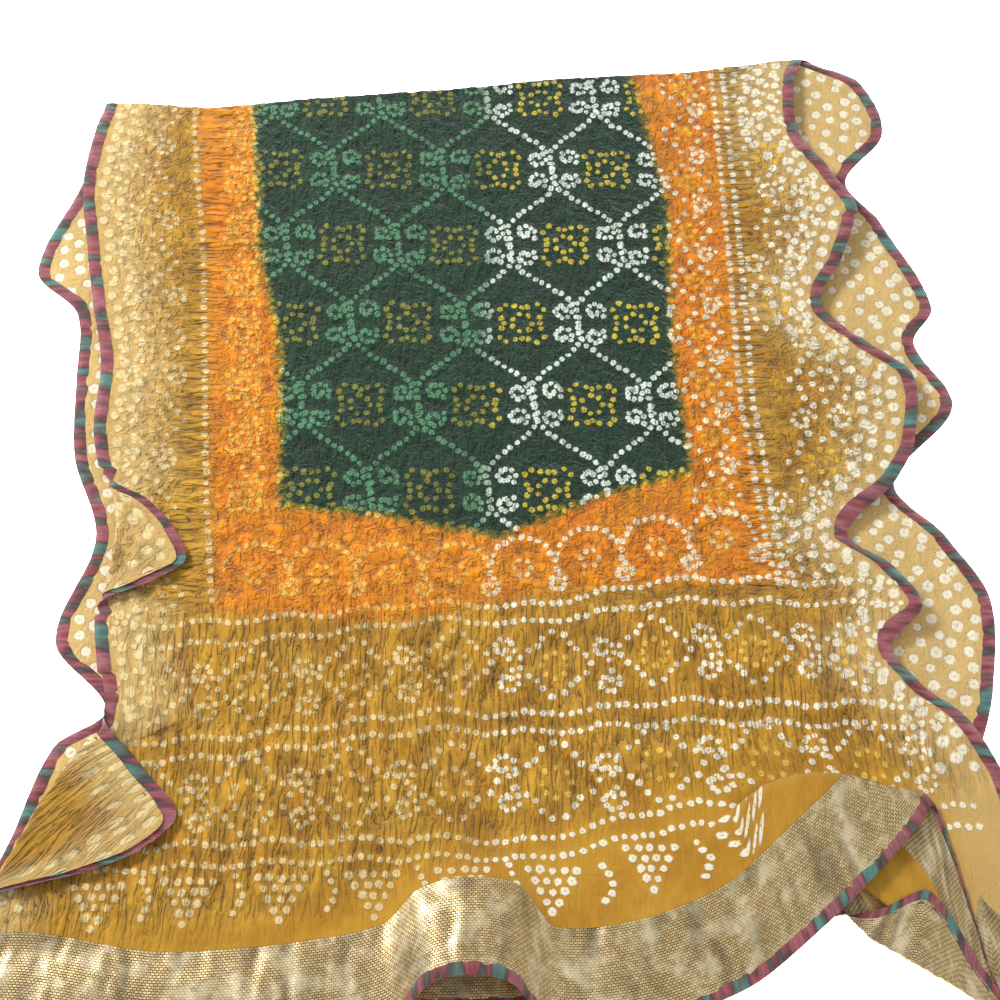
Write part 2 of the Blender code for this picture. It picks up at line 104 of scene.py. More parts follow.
TOP_RIGHT = [
    EdgeRow(y=0.432, x=0.268, flap=-0.006, lift=0.000),
    EdgeRow(y=0.405, x=0.259, flap=-0.006, lift=0.005),
    EdgeRow(y=0.350, x=0.259, flap=-0.006, lift=0.004),
    EdgeRow(y=0.306, x=0.283, flap=-0.006, lift=0.008),
    EdgeRow(y=0.264, x=0.303, flap=-0.006, lift=0.010),
    EdgeRow(y=0.220, x=0.288, flap=-0.003, lift=0.007),
    EdgeRow(y=0.178, x=0.268, flap=-0.003, lift=0.003),
    EdgeRow(y=0.140, x=0.297, flap=-0.006, lift=0.009),
    EdgeRow(y=0.106, x=0.334, flap=-0.006, lift=0.011),
    EdgeRow(y=0.046, x=0.331, flap=-0.006, lift=0.009),
    EdgeRow(y=0.012, x=0.314, flap=-0.006, lift=0.007),
    EdgeRow(y=-0.034, x=0.272, flap=-0.006, lift=0.003),
    EdgeRow(y=-0.064, x=0.304, flap=-0.006, lift=0.008),
    EdgeRow(y=-0.098, x=0.323, flap=-0.006, lift=0.010),
    EdgeRow(y=-0.128, x=0.298, flap=-0.006, lift=0.003),
    EdgeRow(y=-0.160, x=0.316, flap=-0.006, lift=0.007),
    EdgeRow(y=-0.190, x=0.349, flap=-0.006, lift=0.009),
    EdgeRow(y=-0.230, x=0.371, flap=-0.006, lift=0.006),
]

UNDER_LEFT = [
    EdgeRow(y=0.384, x=-0.346, flap=-0.006, lift=0.0),
    EdgeRow(y=0.310, x=-0.358, flap=-0.006, lift=0.0),
    EdgeRow(y=0.212, x=-0.389, flap=-0.006, lift=0.0),
    EdgeRow(y=0.172, x=-0.352, flap=-0.006, lift=0.0),
    EdgeRow(y=0.112, x=-0.347, flap=-0.006, lift=0.0),
    EdgeRow(y=0.040, x=-0.342, flap=-0.006, lift=0.0),
    EdgeRow(y=-0.034, x=-0.318, flap=-0.006, lift=0.0),
    EdgeRow(y=-0.122, x=-0.341, flap=-0.006, lift=0.0),
    EdgeRow(y=-0.178, x=-0.297, flap=-0.006, lift=0.0),
    EdgeRow(y=-0.206, x=-0.334, flap=-0.006, lift=0.0),
    EdgeRow(y=-0.270, x=-0.356, flap=-0.006, lift=0.0),
    EdgeRow(y=-0.332, x=-0.380, flap=-0.006, lift=0.0),
]

UNDER_RIGHT = [
    EdgeRow(y=0.432, x=0.278, flap=-0.006, lift=0.0),
    EdgeRow(y=0.412, x=0.318, flap=-0.006, lift=0.0),
    EdgeRow(y=0.355, x=0.334, flap=-0.006, lift=0.0),
    EdgeRow(y=0.304, x=0.298, flap=-0.006, lift=0.0),
    EdgeRow(y=0.262, x=0.325, flap=-0.006, lift=0.0),
    EdgeRow(y=0.178, x=0.360, flap=-0.006, lift=0.0),
    EdgeRow(y=0.144, x=0.342, flap=-0.006, lift=0.0),
    EdgeRow(y=0.084, x=0.368, flap=-0.006, lift=0.0),
    EdgeRow(y=0.014, x=0.314, flap=-0.006, lift=0.0),
    EdgeRow(y=-0.034, x=0.352, flap=-0.006, lift=0.0),
    EdgeRow(y=-0.086, x=0.380, flap=-0.006, lift=0.0),
    EdgeRow(y=-0.160, x=0.374, flap=-0.006, lift=0.0),
    EdgeRow(y=-0.230, x=0.352, flap=-0.006, lift=0.0),
]

LINES = [
    LineRow(x=-0.395, fold=0.384, start=-0.332),
    LineRow(x=-0.345, fold=0.384, start=-0.330),
    LineRow(x=-0.270, fold=0.379, start=-0.318),
    LineRow(x=-0.150, fold=0.391, start=-0.300),
    LineRow(x=-0.040, fold=0.400, start=-0.262),
    LineRow(x=0.060, fold=0.412, start=-0.232),
    LineRow(x=0.160, fold=0.418, start=-0.196),
    LineRow(x=0.240, fold=0.428, start=-0.190),
    LineRow(x=0.320, fold=0.431, start=-0.206),
    LineRow(x=0.380, fold=0.432, start=-0.232),
]

TOP_END = [
    EndRow(x=-0.395, under=(-0.401, -0.362), ridge=(-0.406, -0.385), end=(-0.413, -0.422), wave=0.004),
    EndRow(x=-0.330, under=(-0.334, -0.362), ridge=(-0.338, -0.385), end=(-0.340, -0.420), wave=0.006),
    EndRow(x=-0.240, under=(-0.245, -0.362), ridge=(-0.245, -0.390), end=(-0.246, -0.434), wave=0.002),
    EndRow(x=-0.150, under=(-0.150, -0.350), ridge=(-0.150, -0.382), end=(-0.150, -0.428), wave=0.005),
    EndRow(x=-0.085, under=(-0.084, -0.334), ridge=(-0.083, -0.370), end=(-0.078, -0.414), wave=0.004),
    EndRow(x=-0.055, under=(-0.056, -0.302), ridge=(-0.055, -0.335), end=(-0.050, -0.388), wave=0.018),
    EndRow(x=-0.018, under=(-0.018, -0.294), ridge=(-0.018, -0.326), end=(-0.020, -0.382), wave=0.024),
    EndRow(x=0.016, under=(0.014, -0.290), ridge=(0.014, -0.330), end=(0.010, -0.388), wave=0.018),
    EndRow(x=0.040, under=(0.038, -0.312), ridge=(0.038, -0.352), end=(0.038, -0.416), wave=0.003),
    EndRow(x=0.100, under=(0.104, -0.300), ridge=(0.106, -0.345), end=(0.112, -0.410), wave=0.006),
    EndRow(x=0.150, under=(0.154, -0.252), ridge=(0.154, -0.272), end=(0.180, -0.384), top=0.004),
    EndRow(x=0.186, under=(0.202, -0.276), ridge=(0.202, -0.236), end=(0.236, -0.340), mid=0.005, top=0.0125),
    EndRow(x=0.226, under=(0.250, -0.308), ridge=(0.250, -0.231), end=(0.274, -0.304), mid=0.005, top=0.013),
    EndRow(x=0.262, under=(0.288, -0.338), ridge=(0.284, -0.242), end=(0.303, -0.273), mid=0.005, top=0.013),
    EndRow(x=0.290, under=(0.314, -0.360), ridge=(0.316, -0.253), end=(0.319, -0.258), mid=0.005, top=0.0085),
    EndRow(x=0.316, under=(0.336, -0.386), ridge=(0.338, -0.340), end=(0.338, -0.329), mid=0.005, top=0.005),
    EndRow(x=0.336, under=(0.358, -0.388), ridge=(0.358, -0.394), end=(0.358, -0.400), wave=0.001),
    EndRow(x=0.371, under=(0.404, -0.330), ridge=(0.414, -0.360), end=(0.436, -0.418), wave=0.004),
]

UNDER_END = [
    EndRow(x=-0.380, under=(-0.384, -0.360), ridge=(-0.386, -0.380), end=(-0.390, -0.412)),
    EndRow(x=-0.240, under=(-0.240, -0.360), ridge=(-0.240, -0.385), end=(-0.240, -0.420)),
    EndRow(x=-0.080, under=(-0.080, -0.330), ridge=(-0.080, -0.360), end=(-0.080, -0.404)),
    EndRow(x=0.060, under=(0.060, -0.310), ridge=(0.060, -0.350), end=(0.060, -0.398)),
    EndRow(x=0.130, under=(0.134, -0.320), ridge=(0.134, -0.345), end=(0.138, -0.382)),
    EndRow(x=0.196, under=(0.218, -0.304), ridge=(0.222, -0.320), end=(0.226, -0.338)),
    EndRow(x=0.228, under=(0.262, -0.350), ridge=(0.266, -0.344), end=(0.274, -0.330), mid=0.008, top=0.010),
    EndRow(x=0.254, under=(0.294, -0.372), ridge=(0.300, -0.350), end=(0.308, -0.318), mid=0.0125, top=0.0125),
    EndRow(x=0.298, under=(0.334, -0.398), ridge=(0.336, -0.390), end=(0.340, -0.372), mid=0.0125, top=0.0125),
    EndRow(x=0.330, under=(0.366, -0.428), ridge=(0.366, -0.423), end=(0.366, -0.412), mid=0.0115, top=0.0115),
    EndRow(x=0.352, under=(0.384, -0.424), ridge=(0.384, -0.428), end=(0.385, -0.431)),
]

# Edges of the dyed areas and the dotted lines beside them, on the opened cloth.
GREEN_AREA = [
    Place(-0.215, 0.70), Place(-0.215, 0.381), Place(-0.201, 0.231), Place(-0.179, 0.133), Place(-0.172, -0.008),
    Place(-0.079, -0.017), Place(0.000, -0.034), Place(0.016, -0.026), Place(0.079, 0.001), Place(0.151, 0.023),
    Place(0.140, 0.133), Place(0.141, 0.281), Place(0.115, 0.414), Place(0.115, 0.70),
]
ORANGE_AREA = [
    Place(-0.262, 0.70), Place(-0.262, 0.355), Place(-0.246, 0.231), Place(-0.238, 0.133), Place(-0.228, -0.004),
    Place(-0.219, -0.096), Place(-0.077, -0.106), Place(0.000, -0.088), Place(0.077, -0.076), Place(0.225, -0.071),
    Place(0.212, -0.056), Place(0.196, 0.086), Place(0.194, 0.211), Place(0.188, 0.414), Place(0.188, 0.70),
]
LEFT_LINE = [
    Place(-0.272, 0.46), Place(-0.266, 0.355), Place(-0.250, 0.231), Place(-0.242, 0.133), Place(-0.232, -0.004),
    Place(-0.221, -0.098),
]
RIGHT_LINE = [
    Place(0.190, 0.48), Place(0.191, 0.414), Place(0.197, 0.211), Place(0.199, 0.086), Place(0.214, -0.056),
    Place(0.224, -0.081),
]

# Rows of dots across the end: how far up the cloth at its left, middle and right.
END_LINES = [
    DotRow(left=-0.114, middle=-0.096, right=-0.072),
    DotRow(left=-0.132, middle=-0.110, right=-0.090),
    DotRow(left=-0.207, middle=-0.184, right=-0.172),
    DotRow(left=-0.222, middle=-0.198, right=-0.188),
    DotRow(left=-0.288, middle=-0.282, right=-0.252),
    DotRow(left=-0.304, middle=-0.296, right=-0.268),
]
DOT_SPACING = 0.0072
DOT_RADIUS = 0.0029
RING_RADIUS = 0.0048
TUCK = 2                 # points by which the cloth and the bands reach in under the bindings


def smooth(part):
    part = np.clip(part, 0.0, 1.0)
    return part * part * (3 - 2 * part)


def lerp(a, b, part):
    return a + (b - a) * part


def curve(rows, key, at, column, axis=None):
    """The same soft curve through one column of a table that the solid cloth follows."""
    places = np.array([getattr(row, key) for row in rows], float)
    values = np.array([getattr(row, column) if axis is None else getattr(row, column)[axis] for row in rows], float)
    if places[0] > places[-1]:
        places = places[::-1]
        values = values[::-1]
    last = len(places) - 1
    before = np.maximum(np.arange(last + 1) - 1, 0)
    after = np.minimum(np.arange(last + 1) + 1, last)
    slopes = (values[after] - values[before]) / (places[after] - places[before])
    index = np.clip(np.searchsorted(places, at, side="right") - 1, 0, last - 1)
    span = places[index + 1] - places[index]
    part = np.clip((at - places[index]) / span, 0, 1)
    square = part ** 2
    cube = part ** 3
    return (
        (2 * cube - 3 * square + 1) * values[index]
        + (cube - 2 * square + part) * 0.85 * span * slopes[index]
        + (3 * square - 2 * cube) * values[index + 1]
        + (cube - square) * 0.85 * span * slopes[index + 1]
    )


def noise(x, y, seed=0):
    """Smooth random heights from -1 to 1, one to each whole number of x and y."""
    def corner(i, j):
        mixed = np.sin(i * 127.1 + j * 311.7 + seed * 74.7) * 43758.5453
        return 2 * (mixed - np.floor(mixed)) - 1
    i = np.floor(x)
    j = np.floor(y)
    u = smooth(x - i)
    v = smooth(y - j)
    low = lerp(corner(i, j), corner(i + 1, j), u)
    high = lerp(corner(i, j + 1), corner(i + 1, j + 1), u)
    return lerp(low, high, v)


def binding_width(rows, y):
    """The binding's width as it lies across, wider where its edge runs slantwise."""
    step = 0.006
    low = curve(rows, "y", y - step, "x") - np.maximum(0, curve(rows, "y", y - step, "flap"))
    high = curve(rows, "y", y + step, "x") - np.maximum(0, curve(rows, "y", y + step, "flap"))
    return BINDING_WIDTH * np.minimum(1.7, np.hypot(1.0, (high - low) / (2 * step)))


def lip(rows, y, inward, side):
    """Where points this far in from an edge lie across, their height, and their place if opened flat."""
    flap = curve(rows, "y", y, "flap")
    turn = curve(rows, "y", y, "x")
    lift = curve(rows, "y", y, "lift") * smooth(1 - inward / 0.085)
    radius = LIP_RADIUS
    bend = math.pi * radius / 2
    centre = turn + side * radius
    angle = (inward - (flap - bend)) / radius
    flat = flap <= -bend * 0.98
    turned = np.clip(angle, 0, math.pi)
    x = centre - side * radius * np.sin(turned)
    x = np.where(angle < 0, centre + side * (flap - bend - inward), x)
    x = np.where(angle > math.pi, centre + side * (inward - flap - bend), x)
    height = radius * (1 + np.cos(turned))
    opened = centre + side * (inward - flap - bend)
    x = np.where(flat, turn + side * inward, x)
    height = np.where(flat, 0.0, height)
    return x, height + lift, np.where(flat, turn + side * inward, opened)


def swell(x, y):
    wave = np.sin(31 * x + 9 * y) * np.sin(17 * y - 6 * x + 0.8)
    ripple = np.sin(58 * x - 23 * y + 1.1) * np.cos(44 * y + 1.9)
    return 0.0011 * (1 + wave) + 0.0006 * (1 + ripple)


def layer(left, right, count, level, wavy):
    """A layer from the fold to its end part: its points, and their places on the opened cloth."""
    part = np.linspace(0, 1, count)[:, None]
    y_left = lerp(curve(LINES, "x", left[0].x, "fold"), left[-1].y, part)
    y_right = lerp(right[0].y, right[-1].y, part)
    bend = math.pi * LIP_RADIUS / 2
    width = binding_width(left, y_left)
    cloth = width + PIECE_GAP
    reach = np.maximum(curve(left, "y", y_left, "flap") - bend, cloth + 0.010) + 2 * bend
    across = np.linspace(0, 1, BINDING_COLUMNS)[None]
    steps = np.linspace(0, 1, LEFT_COLUMNS)[None]
    inward = np.concatenate([width * across, lerp(cloth, reach, steps)], axis=1)
    x_left, z_left, flat_left = lip(left, y_left, inward, 1)
    width = binding_width(right, y_right)
    steps = np.linspace(1, 0, RIGHT_COLUMNS)[None]
    inward = np.concatenate([lerp(width + PIECE_GAP, width + 0.048, steps), width * across[:, ::-1]], axis=1)
    x_right, z_right, flat_right = lip(right, y_right, inward, -1)
    share = np.linspace(0, 1, MIDDLE_COLUMNS + 2)[None, 1:-1]
    x_middle = lerp(x_left[:, -1:], x_right[:, :1], share)
    z_middle = z_left[:, -1:] * (1 - share) ** 4 + z_right[:, :1] * share ** 4
    x = np.concatenate([x_left, x_middle, x_right], axis=1)
    z = np.concatenate([z_left, z_middle, z_right], axis=1)
    flat = np.concatenate([flat_left, x_middle, flat_right], axis=1)
    inner = x_left[:, -1:]
    share = np.clip((x - inner) / (x[:, -1:] - inner), 0, 1)
    share[:, :x_left.shape[1]] = 0
    y = lerp(curve(LINES, "x", x, "fold"), curve(LINES, "x", x, "start"), part)
    y = lerp(y_left, y, smooth(share / 0.10))
    y = lerp(y, y_right, smooth((share - 0.9) / 0.1))
    if wavy:
        z = z + swell(x, y) * smooth(part / 0.08)
    return np.stack([x, y, level + z], axis=2), np.stack([flat, y], axis=2)


def end_part(table, first, opened, level, cloth_rows):
    """The rows of an end: plain cloth, gold band and binding, down the same ways as the solid's."""
    columns = first.shape[0]
    legs = [first[:, :2]]
    for name in ("under", "ridge", "end"):
        legs.append(np.stack([curve(table, "x", first[:, 0], name, axis) for axis in (0, 1)], axis=1))
    mid, top, wave = (np.maximum(0, curve(table, "x", first[:, 0], name)) for name in ("mid", "top", "wave"))
    heights = (first[:, 2], level + mid, level + top)
    places = []
    levels = []
    for leg, height in enumerate(heights):
        for step in range(PATH_STEPS):
            places.append(lerp(legs[leg], legs[leg + 1], step / PATH_STEPS))
            levels.append(lerp(height, level, smooth(step / PATH_STEPS)) if leg == 0 else height)
    places.append(legs[3])
    levels.append(heights[2])
    count = len(places)
    path = np.zeros((columns, count, 3))
    path[:, :, :2] = np.stack(places, axis=1)
    levels = np.stack(levels, axis=1)
    padded = np.concatenate([levels[:, :1], levels, levels[:, -1:]], axis=1)
    path[:, :, 2] = (padded[:, :-2] + padded[:, 1:-1] + padded[:, 2:]) / 3
    path[:, :, 2] += wave[:, None] * smooth(np.arange(count) / count)[None]
    marks = np.zeros((columns, count))
    marks[:, 1:] = np.cumsum(np.linalg.norm(np.diff(path, axis=1), axis=2), axis=1)
    whole = marks[:, -1]
    seam = whole - BAND_WIDTH - BINDING_WIDTH - BAND_GAP - END_GAP
    ways = [seam * step / cloth_rows for step in range(1, cloth_rows + 1)]
    ways += [whole - BINDING_WIDTH - END_GAP - BAND_WIDTH * (1 - step / BAND_ROWS) for step in range(BAND_ROWS + 1)]
    ways += [whole - BINDING_WIDTH * (1 - step / (BINDING_COLUMNS - 1)) for step in range(BINDING_COLUMNS)]
    rows = np.zeros((len(ways), columns, 3))
    flats = np.zeros((len(ways), columns, 2))
    for column in range(columns):
        for axis in range(3):
            rows[:, column, axis] = np.interp([way[column] for way in ways], marks[column], path[column, :, axis])
    for number, way in enumerate(ways):
        flats[number, :, 0] = opened[:, 0]
        flats[number, :, 1] = opened[:, 1] - way
    return rows, flats


def round_fold(below, above):
    """The rows of the bend that joins the layers."""
    turns = np.linspace(0, math.pi, FOLD_ROWS + 2)[1:-1]
    rows = []
    for turn in turns:
        share = (1 - math.cos(turn)) / 2
        row = lerp(below, above, share)
        row[:, 1] += (above[:, 2] - below[:, 2]) / 2 * math.sin(turn)
        rows.append(row)
    return np.array(rows)


def edge_on_flat(rows, y):
    """Where an edge's outer side lies on the opened cloth."""
    side = 1 if rows[0].x < 0 else -1
    return lip(rows, y, np.zeros_like(y), side)[2]


class Dots:
    """Tied dots, each with its place on the opened cloth, its radius, and whether it was tinted yellow."""

    def __init__(self):
        self.rows = []

    def add(self, x, y, radius=DOT_RADIUS, tint=0.0):
        number = len(self.rows)
        uneven = math.sin(number * 12.9898) * 437.585
        uneven -= math.floor(uneven)
        angle = number * 2.39996
        x += 0.0010 * uneven * math.cos(angle)
        y += 0.0010 * uneven * math.sin(angle)
        self.rows.append((x, y, radius * (0.86 + 0.28 * uneven), tint))

    def line(self, places, spacing=DOT_SPACING, radius=DOT_RADIUS, tint=0.0, sway=0.0):
        points = np.array(places, float)
        marks = np.concatenate([[0], np.cumsum(np.linalg.norm(np.diff(points, axis=0), axis=1))])
        for way in np.arange(0, marks[-1], spacing):
            x = np.interp(way, marks, points[:, 0])
            y = np.interp(way, marks, points[:, 1])
            off = sway * math.sin(way * 61 + x * 40)
            self.add(x, y + off, radius, tint)

    def ring(self, x, y, size, count, radius=DOT_RADIUS, tint=0.0, squash=1.0, lobes=0, turn=0.0):
        for step in range(count):
            angle = 2 * math.pi * step / count + turn
            reach = size * (1 + 0.16 * math.cos(lobes * angle)) if lobes else size
            self.add(x + reach * math.cos(angle), y + squash * reach * math.sin(angle), radius, tint)

    def scroll(self, x, y, size, hand, turn, tint=0.0):
        """A curl: an open loop of dots that winds in to its middle."""
        for step in range(10):
            angle = turn + hand * step * 0.72
            reach = size * (1 - 0.075 * step)
            self.add(x + reach * math.cos(angle), y + reach * math.sin(angle), 0.0026, tint)


def square_flower(dots, x, y, size, tint):
    """A square flower: an outline that dips at its sides, and a ring round the middle."""
    for step in range(20):
        angle = 2 * math.pi * step / 20
        reach = size / max(abs(math.cos(angle)), abs(math.sin(angle))) * (0.90 + 0.10 * math.cos(4 * angle + math.pi))
        dots.add(x + reach * math.cos(angle), y + reach * math.sin(angle), 0.0026, tint)
    dots.ring(x, y, size * 0.45, 7, 0.0025, tint)


def green_pattern(dots):
    """Flowers in the cells of a lattice of curved lines, with curls where the lines meet."""
    wide = 0.094
    tall = 0.154
    for row in range(-1, 7):
        for column in range(-4, 4):
            x = 0.008 + wide * (column + 0.5 * (row % 2)) - 0.010 * (row - 3)
            y = 0.005 + 0.5 * tall * row
            square_flower(dots, x, y, 0.0185, 1.0)
            node = x + 0.5 * wide
            for hand in (-1, 1):
                curl = [(node, y)]
                for step in range(1, 9):
                    share = step / 8
                    bow = 0.010 * math.sin(2 * math.pi * share)
                    curl.append((node + hand * (0.5 * wide * share - bow) - 0.010 * share, y + 0.5 * tall * share))
                dots.line(curl, 0.0066, 0.0027)
                dots.scroll(node + hand * 0.0135, y + 0.012, 0.0085, hand, -hand * 0.6)
                dots.scroll(node + hand * 0.0135, y - 0.012, 0.0085, -hand, hand * 0.6)


def frame_pattern(dots):
    """The orange frame: dotted arches and flowers, and the lines at its edges."""
    dots.line(LEFT_LINE, 0.0085, 0.0030)
    for off in (-0.004, 0.006):
        dots.line([(place.x + off, place.y) for place in RIGHT_LINE], 0.0082, 0.0030)
    for number in range(9):
        y = 0.400 - 0.050 * number
        left = -0.228 + 0.055 * (0.400 - y) * 1.2
        right = 0.160 + 0.045 * max(0.0, 0.25 - y)
        square_flower(dots, left, y, 0.013, 0.4)
        dots.ring(left + 0.004, y + 0.025, 0.008, 6, 0.0026)
        dots.ring(right, y, 0.016, 11, 0.0028, lobes=4)
        dots.ring(right, y, 0.006, 5, 0.0026, tint=1.0)
        dots.scroll(right + 0.012, y + 0.025, 0.008, 1, 0.4)
    for number in range(8):
        x = -0.190 + 0.052 * number
        low = -0.068 + 0.030 * smooth((x + 0.05) / 0.25)
        arch = [(x + 0.026 * math.cos(a), low + 0.026 * math.sin(a)) for a in np.linspace(0, math.pi, 12)]
        dots.line(arch, 0.0070, 0.0028)
        dots.ring(x, low, 0.007, 6, 0.0026, tint=0.5)
        dots.scroll(x + 0.026, low - 0.012, 0.008, -1, 1.2)


def side_pattern(dots):
    """Both plain borders: rosettes in a column, curls between them, and big dots near the edges."""
    for number in range(7):
        y = 0.370 - 0.076 * number
        x = float(0.5 * (edge_on_flat(TOP_LEFT, np.array(y)) + np.interp(-y, [-0.36, 0.1], [-0.268, -0.220])))
        dots.ring(x, y, 0.024, 18, 0.0027, lobes=5)
        dots.ring(x, y, 0.012, 9, 0.0026, tint=0.4)
        dots.scroll(x - 0.016, y + 0.038, 0.010, 1, 0.5)
        dots.scroll(x + 0.018, y + 0.040, 0.010, -1, 2.5)
    for number in range(7):
        y = 0.400 - 0.074 * number
        x = float(0.5 * (edge_on_flat(TOP_RIGHT, np.array(y)) + 0.200) - 0.004)
        dots.ring(x, y, 0.024, 16, 0.0031, lobes=6)
        dots.ring(x, y, 0.010, 7, 0.0030, tint=1.0 if number % 2 else 0.0)
        dots.scroll(x - 0.015, y + 0.037, 0.010, 1, 0.2)
        dots.scroll(x + 0.016, y + 0.037, 0.010, -1, 2.8)
    for rows, low, side in ((TOP_LEFT, -0.330, 1), (TOP_RIGHT, -0.225, -1)):
        for number, y in enumerate(np.arange(low, 0.44, 0.0125)):
            for column, inward in enumerate((0.0185, 0.0310, 0.0435)):
                if column == 2 and side == 1 and y > -0.20:
                    continue
                place = float(edge_on_flat(rows, np.array(y)))
                dots.add(place + side * (inward + 0.002 * math.sin(number * 2.1)), y + 0.006 * (column % 2), RING_RADIUS)


def end_height(row, x):
    return float(np.interp(x, [-0.31, -0.20, -0.05, 0.02, 0.13, 0.30],
                           [row.left, row.left + 0.006, row.middle + 0.004, row.middle, row.right, row.right - 0.004]))


def end_pattern(dots):
    """The end: dotted lines across, two rows of scrolling motifs, and hanging diamonds below."""
    for row in END_LINES:
        places = [(x, end_height(row, x)) for x in np.linspace(-0.300, 0.345, 30)]
        dots.line(places, 0.0071, 0.0028, sway=0.0022)
    for upper, lower, size in ((END_LINES[1], END_LINES[2], 0.024), (END_LINES[3], END_LINES[4], 0.027)):
        for number in range(8):
            x = -0.262 + 0.076 * number
            y = 0.5 * (end_height(upper, x) + end_height(lower, x))
            dots.ring(x, y + 0.002, size, 19, 0.0028, lobes=4, squash=0.95)
            dots.ring(x, y, size * 0.42, 8, 0.0027, tint=0.9 if number > 3 else 0.3)
            dots.scroll(x + 0.036, y + 0.014, 0.010, 1, -1.0)
            dots.scroll(x + 0.040, y - 0.013, 0.010, -1, 1.2)
    for number in range(9):
        x = -0.290 + 0.066 * number
        base = end_height(END_LINES[5], x) - 0.011
        for step, count in enumerate((5, 4, 3, 2, 1)):
            for place in range(count):
                dots.add(x + (place - (count - 1) / 2) * 0.0086, base - step * 0.0078, 0.0034)
        dots.line([(x + 0.033, base + 0.004), (x + 0.040, base - 0.012), (x + 0.033, base - 0.024)], 0.0075, 0.0029)


def distance_inside(area, x, y):
    """How far inside an area each place is, and below 0 how far outside."""
    inside = np.zeros(x.shape, bool)
    nearest = np.full(x.shape, 1e9)
    for a, b in zip(area, area[1:] + area[:1]):
        along_x = b.x - a.x
        along_y = b.y - a.y
        share = np.clip(((x - a.x) * along_x + (y - a.y) * along_y) / (along_x ** 2 + along_y ** 2), 0, 1)
        nearest = np.minimum(nearest, np.hypot(x - a.x - share * along_x, y - a.y - share * along_y))
        crossed = (a.y > y) != (b.y > y)
        inside ^= crossed & (x < a.x + (y - a.y) * along_x / (along_y if along_y else 1e-9))
    return np.where(inside, nearest, -nearest)


def nearest_dots(dots, points):
    """The index of the nearest dot to each place."""
    tree = KDTree(len(dots))
    for number, (x, y, _, _) in enumerate(dots):
        tree.insert((x, y, 0), number)
    tree.balance()
    return np.array([tree.find((px, py, 0))[1] for px, py in points])


def pucker(flat, dots):
    """Height of the crinkles: pleats along the cloth, a crumple between motifs, and a peak at each dot."""
    x = flat[..., 0]
    y = flat[..., 1]
    warp_x = x + 0.0030 * noise(x / 0.021, y / 0.017, 1) + 0.0012 * noise(x / 0.008, y / 0.009, 2)
    warp_y = y + 0.0030 * noise(x / 0.018, y / 0.021, 3)
    pleats = 1 - 2 * np.abs(noise(warp_x / 0.0052, y / 0.034, 4))
    crumple = 1 - 2 * np.abs(noise(warp_x / 0.0070, warp_y / 0.0075, 5))
    cross = 1 - 2 * np.abs(noise(x / 0.030, warp_y / 0.0052, 6))
    pleats, crumple, cross = -pleats, -crumple, -cross
    end = smooth((-0.075 - y) / 0.04)
    field = smooth(distance_inside(GREEN_AREA, x, y) / 0.01)
    beside = smooth(1 - np.minimum(np.abs(x + 0.245), np.abs(x - 0.203)) / 0.030) * (1 - end)
    along_way = np.clip(0.30 + 0.55 * end + 0.30 * field - beside, 0, 1)
    height = along_way * pleats + (1 - along_way) * lerp(crumple, cross, beside)
    height = 0.75 * height + 0.35 * noise(x / 0.004, y / 0.005, 7)
    edge_left = smooth((x - edge_on_flat(TOP_LEFT, y) - 0.010) / 0.05)
    edge_right = smooth((edge_on_flat(TOP_RIGHT, y) - 0.010 - x) / 0.05)
    start = curve(LINES, "x", x, "start")
    hem = 0.16 + 0.84 * smooth((y - start + 0.055) / 0.05)
    depth = (0.30 + 0.70 * edge_left * edge_right) * hem
    points = flat.reshape(-1, 2)
    found = nearest_dots(dots, points)
    table = np.array(dots)
    away = np.hypot(points[:, 0] - table[found, 0], points[:, 1] - table[found, 1]).reshape(x.shape)
    peak = np.exp(-(away / 0.0034) ** 2)
    return depth * height, peak * (0.45 + 0.55 * depth), along_way, beside, depth


def grid_normals(grid):
    down = np.zeros_like(grid)
    down[1:-1] = grid[2:] - grid[:-2]
    down[0] = grid[1] - grid[0]
    down[-1] = grid[-1] - grid[-2]
    across = np.zeros_like(grid)
    across[:, 1:-1] = grid[:, 2:] - grid[:, :-2]
    across[:, 0] = grid[:, 1] - grid[:, 0]
    across[:, -1] = grid[:, -1] - grid[:, -2]
    found = np.cross(down, across)
    return found / np.maximum(1e-12, np.linalg.norm(found, axis=2, keepdims=True))


def grid_piece(name, grid, surface, maps, values=None):
    """A sheet from a grid of points, with its named maps (one pair to each point) and point values."""
    rows, columns = grid.shape[:2]
    index = np.arange(rows * columns).reshape(rows, columns)
    quads = np.stack([index[:-1, :-1], index[1:, :-1], index[1:, 1:], index[:-1, 1:]], axis=2).reshape(-1, 4)
    mesh = bpy.data.meshes.new(name)
    mesh.vertices.add(rows * columns)
    mesh.vertices.foreach_set("co", grid.reshape(-1).astype(np.float32))
    mesh.loops.add(quads.size)
    mesh.loops.foreach_set("vertex_index", quads.reshape(-1).astype(np.int32))
    mesh.polygons.add(len(quads))
    mesh.polygons.foreach_set("loop_start", (np.arange(len(quads)) * 4).astype(np.int32))
    mesh.update(calc_edges=True)
    mesh.validate()
    even = np.stack(np.meshgrid(np.linspace(0, 1, columns), np.linspace(0, 1, rows)), axis=2)
    for key, pairs in {"OFBake": even, **maps}.items():
        made = mesh.uv_layers.new(name=key)
        made.data.foreach_set("uv", pairs.reshape(-1, 2)[quads.reshape(-1)].reshape(-1).astype(np.float32))
    for key, amounts in (values or {}).items():
        made = mesh.attributes.new(key, "FLOAT", "POINT")
        made.data.foreach_set("value", amounts.reshape(-1).astype(np.float32))
    mesh.polygons.foreach_set("use_smooth", np.ones(len(quads), bool))
    mesh.materials.append(surface)
    made = bpy.data.objects.new(name, mesh)
    bpy.context.collection.objects.link(made)
    return made, quads


